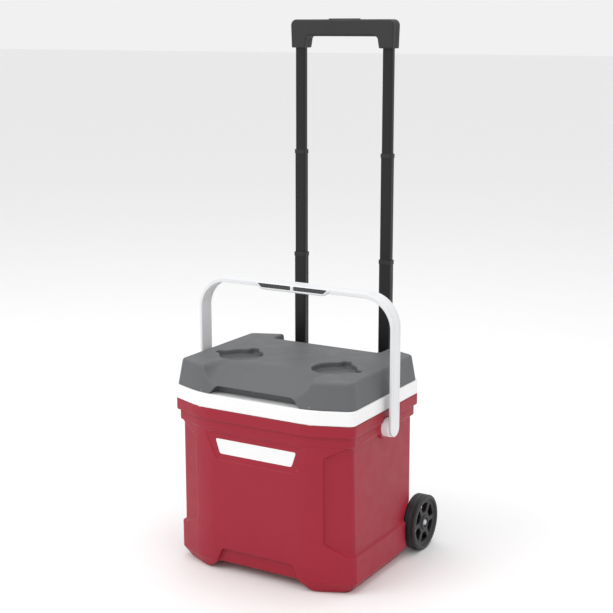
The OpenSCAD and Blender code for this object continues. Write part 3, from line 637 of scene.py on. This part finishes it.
def wheel(x, y, z):
    u = np.abs(x) - WHEEL[0][0]
    width = WHEEL[1][0] - WHEEL[0][0]
    dy, dz = y - WHEEL_Y, z - WHEEL_Z
    r = np.hypot(dy, dz)
    bore = 43 + 1.5 * np.clip((u - width + 5) / 5, 0, 1)
    tyre = both(both(r - WHEEL_R, slab(u, 0, width), 3.5), bore - r, 1.5)
    tyre = cut(tyre, both(np.abs(np.abs(u - width / 2) - 4.5) - 0.9, WHEEL_R - 1 - r, 0.2), 0.4)
    web = both(slab(u, width - 8, width - 4), r - 44, 0.5)
    hub = both(slab(u, 1, width - 4), r - 11, 1)
    ring = both(slab(u, width - 6, width - 1.6), np.abs(r - 11.5) - 2, 0.9)
    angle = np.mod(np.arctan2(dz, dy), math.pi / 3) - math.pi / 6
    beside = np.abs(r * np.sin(math.pi / 6 - np.abs(angle)))
    opening = both(both(20 - r, r - 37.5, 3), 4.2 - beside, 2.5)
    web = cut(web, opening, 0.8)
    rib = both(both(beside - 1.2, slab(u, width - 16, width - 7), 0.6), np.maximum(r - 43.5, 9 - r), 0.5)
    body = either(either(either(tyre, web, 1.5), hub, 1), ring, 0.8)
    body = either(body, rib, 0.8)
    return cut(body, disc(dy, dz, 4.1), 0.4)


def axle_cap(x, y, z):
    ax = np.abs(x)
    r = disc(y - WHEEL_Y, z - WHEEL_Z, 0)
    body = both(r - 6.5, slab(ax, CAP[0][0], CAP[1][0]), 1.1)
    dome = np.sqrt((ax - CAP[1][0] + 9) ** 2 + r ** 2) - 9
    return either(both(body, dome, 0.5), both(r - 4.6, slab(ax, CAP[0][0], CAP[1][0] - 0.4), 0.5), 0.3)


# --- Behind the chest ---------------------------------------------------------------------

def tube_gap(x, y, half_x, half_y, r):
    return round_rect(np.abs(x) - TUBE_X, y - TUBE_Y, half_x, half_y, r)


BORE = 13.0, 9.3, 3.7  # half width, half depth and corner of the fixed tube's hole


def carrier(x, y, z):
    half_w = CARRIER[1][0]
    y0, y1, z0, z1 = CARRIER[0][1], CARRIER[1][1], CARRIER[0][2], CARRIER[1][2]
    ax = np.abs(x)
    shoulder = WHEEL_Z + 14
    block = both(both(slab(y, y0, y1), slab(z, z0, z1), 3), ax - half_w, 2)
    block = both(block, ((y - y1) - (z - z0) + 12) / 1.414, 3)
    block = both(block, ((y - y1) + (z - z1) + 8) / 1.414, 3)
    tower = both((np.abs(ax - TUBE_X) - 17.8 - np.clip(z1 - z, 0, 34) * 0.176), z - z1, 2)
    body = both(block, either(z - shoulder, tower, 4), 2)
    bore = tube_gap(x, y, *BORE)
    body = cut(body, both(bore, TUBE[0][2] - z, 0), 0.6)
    pocket = both(slab(y, y0 + 5, y1 - 5), z - shoulder + 5, 2)
    middle = slab(ax, 3, 66)
    outer = slab(ax, 112, 155)
    body = cut(body, both(pocket, np.minimum(middle, outer), 2), 1)
    dent_x = np.minimum(slab(ax, 8, 62), slab(ax, 120, 152))
    dent = both(both(slab(z, 36, 58), y1 - 1.6 - y, 0.4), dent_x, 1)
    body = cut(body, dent, 0.6)
    return cut(body, disc(y - WHEEL_Y, z - WHEEL_Z, 4.1), 0.5)


def screw_heads(places):
    """Round heads with a cross recess, facing +Y; places are (x, y_face, z, radius, height)."""
    def field(x, y, z):
        out = np.full(np.broadcast(x, y, z).shape, 1e3)
        for px, py, pz, r, h in places:
            u, w, v = x - px, z - pz, y - py
            ball = np.sqrt(u * u + w * w + (v + r - h) ** 2) - r - 0.2
            head = both(both(disc(u, w, r), slab(v, -1.0, h), 0.6), ball, 0.3)
            arm = np.minimum(np.maximum(np.abs(u) - 0.7, np.abs(w) - r * 0.6),
                             np.maximum(np.abs(w) - 0.7, np.abs(u) - r * 0.6))
            out = np.minimum(out, cut(head, both(arm, h - 1.3 - v, 0.2), 0.2))
        return out
    return field


def bracket(x, y, z):
    ax = np.abs(x)
    y0, z0, z1 = BRACKET[0][1], BRACKET[0][2], BRACKET[1][2]
    half_w = BRACKET[1][0]
    strap = both(both(slab(y, y0, y0 + 4), slab(z, z0, z0 + 24), 1), ax - half_w, 2)
    sleeve = both(tube_gap(x, y, 16.8, 13.1, 6), slab(z, z0, z1), 1.6)
    block = both(both(np.abs(ax - TUBE_X) - 16.8, slab(y, y0, TUBE_Y), 1), slab(z, z0, z1), 1.6)
    rib = both(np.abs(np.abs(ax - 45) - 16) - 1.2, slab(y, y0, y0 + 8), 0.5)
    rib = both(rib, slab(z, z0 + 1, z0 + 23), 2)
    body = either(either(strap, either(sleeve, block, 1), 3), rib, 1)
    return cut(body, tube_gap(x, y, *BORE), 0.8)


def collar_field(cad):
    """A sleeve with rounded ends round a tow tube, the size of its CAD node."""
    low, high = cad
    half_x, half_y = (high[0] - low[0]) / 2, (high[1] - low[1]) / 2

    def field(x, y, z):
        body = both(tube_gap(x, y, half_x, half_y, 4.5), slab(z, low[2], high[2]), 0.7)
        return cut(body, tube_gap(x, y, half_x - 1, half_y - 1, 3.5), 0.25)
    return field


KNUCKLE_R, PIN_R, HINGE_HALF = 4.5, 2.06, 22.0


def hinge_base(x, y, z):
    u = np.abs(x) - HINGE_X
    out = disc(y - HINGE_Y, z - HINGE_Z, 0)
    rear = HINGE_BASE[0][1]
    leaf = both(np.abs(u) - HINGE_HALF, slab(y, rear, rear + 2), 0.6)
    leaf = both(leaf, slab(z, HINGE_BASE[0][2], HINGE_Z - 5), 1)
    ends = 15 - np.abs(u)
    knuckle = both(both(out - KNUCKLE_R, np.abs(u) - HINGE_HALF, 0.6), ends, 0.6)
    arm = both(slab(y, rear, HINGE_Y), slab(z, HINGE_Z - 7.5, HINGE_Z), 0.6)
    arm = both(arm, both(np.abs(u) - HINGE_HALF, ends, 0.4), 0.5)
    body = either(either(leaf, knuckle, 0.6), arm, 0.6)
    return cut(body, out - PIN_R, 0.3)


def hinge_leaf(x, y, z):
    u = np.abs(x) - HINGE_X
    out = disc(y - HINGE_Y, z - HINGE_Z, 0)
    reach = (LEAF[1][0] - LEAF[0][0]) / 2
    floor = LEAF[1][2] - 2
    flat = both(np.abs(u) - reach, slab(y, LEAF[0][1], HINGE_Y - 1), 0.8)
    flat = both(flat, slab(z, floor, floor + 2), 0.7)
    knuckle = both(out - KNUCKLE_R, np.abs(u) - reach, 0.6)
    drop = both(slab(y, HINGE_Y - 4, HINGE_Y - 1), slab(z, HINGE_Z, floor + 2), 0.6)
    drop = both(drop, np.abs(u) - reach, 0.6)
    body = either(either(flat, drop, 0.8), knuckle, 0.8)
    return cut(body, out - PIN_R, 0.3)


# --- Tow grip -----------------------------------------------------------------------------

def tow_grip(x, y, z):
    ax = np.abs(x)
    low, top = GRIP[0][2], GRIP[1][2]
    half_w = GRIP[1][0]
    lean = blend(z, low, top - 11, half_w - 1.5, half_w)
    outline = both(both(ax - lean, z - top, 11), low - z, 1.5)
    inner = both(ax - blend(z, low, low + 21, 77, 73.5), z - low - 21, 5)
    outline = cut(outline, inner, 2)
    body = both(outline, np.abs(y - TUBE_Y) - 14, 3.2)
    seam = both(np.abs(y - TUBE_Y) - 0.45, -outline - 0.7, 0.1)
    body = cut(body, seam, 0.3)
    step = both(slab(z, low + 23, low + 24.2), -body - 0.6, 0.1)
    body = cut(body, both(step, ax - 70, 1), 0.3)
    well = both(round_rect(x, y - TUBE_Y, 32.7, 8.7, 7), top - 10 - z, 0)
    body = cut(body, well, 1)
    bore = both(tube_gap(x, y, 10.3, 6.6, 3.6), z - UPPER[1][2] - 0.4, 0)
    return cut(body, bore, 0.5)


def button(x, y, z):
    low, high = BUTTON[1][2] - 5, BUTTON[1][2]
    body = both(round_rect(x, y - TUBE_Y, 32, 8, 7), slab(z, low, high), 1.6)
    stem = both(disc(x, y - TUBE_Y, 4), slab(z, BUTTON[0][2], high - 1), 0.4)
    rib = both(np.abs(np.mod(x + 3, 6) - 3) - 0.8, high - 0.5 - z, 0.2)
    rib = both(rib, round_rect(x, y - TUBE_Y, 25, 5, 4), 0.5)
    return cut(either(body, stem, 0.5), rib, 0.3)


# --- Pieces --------------------------------------------------------------------------------

def left_of(box):
    """Box of the left-hand part, from the box of the right-hand one."""
    return [-box[1][0], box[0][1], box[0][2]], [-box[0][0], box[1][1], box[1][2]]


SIDES = (("left", left_of), ("right", lambda box: box))

build("red_shell", shell, *SHELL, 1.5, "chest", "shell_red", ["outer_shell"], red, 0.2)
build("blank_plate", plate, *PLATE, 0.8, "chest", "rim_white", ["nameplate"], white)
build("tub_and_rim", liner, *RIM, 1.5, "chest", "rim_white", ["inner_liner"], white, 0.2)
build("lid_top", lid, *LID, 1.2, "lid", "lid_grey", ["lid_shell"], grey, 0.25)
build("lid_plug", lid_plug, *PLUG, 1.4, "lid", "rim_white", ["lid_liner"], white, 0.15)
# the bail gets the greyed white with painted shade
build("bail", bail, *BAIL, 0.9, "bail", "rim_white", ["bail_handle"], bail_white_painted_shade, 0.3)
build("bail_grips", bail_inserts, *box_mm("bail_inserts"), 0.6, "bail", "insert_grey",
      ["bail_inserts"], insert, 0.5)
build("axle_beam", carrier, *CARRIER, 1.5, "chest", "trim_black", ["axle_carrier"], trim, 0.2)
build("tube_bracket", bracket, *BRACKET, 1.1, "chest", "trim_black", ["tow_bracket"], trim, 0.25)
build("grip", tow_grip, [-GRIP[1][0], GRIP[0][1], GRIP[0][2]], [GRIP[1][0], GRIP[0][1] + 28, GRIP[1][2]],
      0.8, "tow_upper", "trim_black", ["grip_front", "grip_rear"], grip_black, 0.3)
build("press_button", button, *BUTTON, 0.5, "release_button", "trim_black", ["release_button"], trim, 0.4)

for side, place in SIDES:
    build(f"boss_{side}", boss, *place(BOSS), 0.8, "chest", "rim_white", [f"pivot_boss_{side}"], white)
    build(f"roller_{side}", wheel, *place(WHEEL), 0.8, f"wheel_{side}", "wheel_black", [f"wheel_{side}"],
          wheel_black, 0.35)
    build(f"push_nut_{side}", axle_cap, *place(CAP), 0.35, "chest", "steel",
          [f"axle_cap_{side}"], steel, 0.5)
    build(f"hinge_plate_{side}", hinge_base, *place(HINGE_BASE), 0.6, "chest", "rim_white",
          [f"hinge_base_{side}"], white)
    build(f"hinge_tongue_{side}", hinge_leaf, *place(LEAF), 0.6, "lid", "lid_grey",
          [f"hinge_leaf_{side}"], grey)
    for stage, body in (("outer", "chest"), ("lower", "tow_lower"), ("middle", "tow_middle")):
        cad = box_mm(f"{stage}_collar_right")
        build(f"{stage}_ring_{side}", collar_field(cad), *place(cad), 0.5, body, "trim_black",
              [f"{stage}_collar_{side}"], trim, 0.4)

BEAM_SCREWS = box_mm("carrier_screws")
PLATE_SCREWS = box_mm("bracket_screws")
screw_x = [s * m * TUBE_X for s in (-1, 1) for m in (0.3, 1.45)]
beam_places = [(x, BEAM_SCREWS[0][1], WHEEL_Z, 4.0, 2.0) for x in screw_x]
plate_places = [(s * TUBE_X / 2, PLATE_SCREWS[0][1], BRACKET[0][2] + 12, 5.0, 2.5) for s in (-1, 1)]
build("beam_screws", screw_heads(beam_places), *BEAM_SCREWS, 0.35, "chest", "steel",
      ["carrier_screws"], steel, 0.5)
build("plate_screws", screw_heads(plate_places), *PLATE_SCREWS, 0.35, "chest", "steel", ["bracket_screws"],
      steel, 0.5)

CARRIED = {
    "foam_core": foam, "lid_foam": foam, "bail_clips": steel, "axle": steel,
    "hinge_pin_left": steel, "hinge_pin_right": steel, "button_spring": steel, "grip_screws": steel,
}
for name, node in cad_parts.items():
    if node.hide_render:
        continue
    if name in CARRIED:
        material = CARRIED[name]
    elif "tube" in name:
        material = tube_black
    else:
        material = insert
    node.data.materials.clear()
    node.data.materials.append(material)


# --- Stage --------------------------------------------------------------------------------

def area_light(name, place, target, size, power, colour=(1, 1, 1)):
    data = bpy.data.lights.new(name, "AREA")
    data.size = size
    data.energy = power
    data.color = colour
    light = bpy.data.objects.new(name, data)
    light.location = place
    aim = np.array(target) - np.array(place)
    light.rotation_euler = Vector(aim).to_track_quat("-Z", "Y").to_euler()
    bpy.context.scene.collection.objects.link(light)


area_light("key", (-1.4, -2.2, 2.6), (0, 0, 0.3), 2.0, 30)
area_light("fill", (2.8, -0.6, 1.8), (0, 0, 0.3), 2.2, 8)
area_light("top", (0, 0.2, 3.2), (0, 0, 0.3), 2.4, 24)

world = bpy.data.worlds.new("studio")
bpy.context.scene.world = world
world.use_nodes = True
world.node_tree.nodes["Background"].inputs["Color"].default_value = (1, 1, 1, 1)
world.node_tree.nodes["Background"].inputs["Strength"].default_value = 0.88

GROUND_HALF, FLOOR_Z = 40.0, -0.0004
floor_corners = [[u * GROUND_HALF, v * GROUND_HALF, FLOOR_Z] for u, v in ((-1, -1), (1, -1), (1, 1), (-1, 1))]
floor_mesh = mesh_from("floor", np.array(floor_corners), np.array([[0, 1, 2, 3]]))
floor_material = moulded("floor", (246, 246, 246), 0.8, 60, 0.02, 0.0, 0.004)
floor_mesh.materials.append(floor_material)
floor = bpy.data.objects.new("floor", floor_mesh)
bpy.context.scene.collection.objects.link(floor)

camera_data = bpy.data.cameras.new("camera")
camera_data.sensor_width = 36.0
camera_data.lens = 76.97
camera_data.clip_end = 200.0
camera = bpy.data.objects.new("camera", camera_data)
camera.location = (1.17929, -1.99893, 0.96627)
camera.rotation_euler = (math.radians(77.9), 0, math.radians(30.39))
bpy.context.scene.collection.objects.link(camera)
bpy.context.scene.camera = camera
bpy.context.scene.view_settings.view_transform = "Standard"
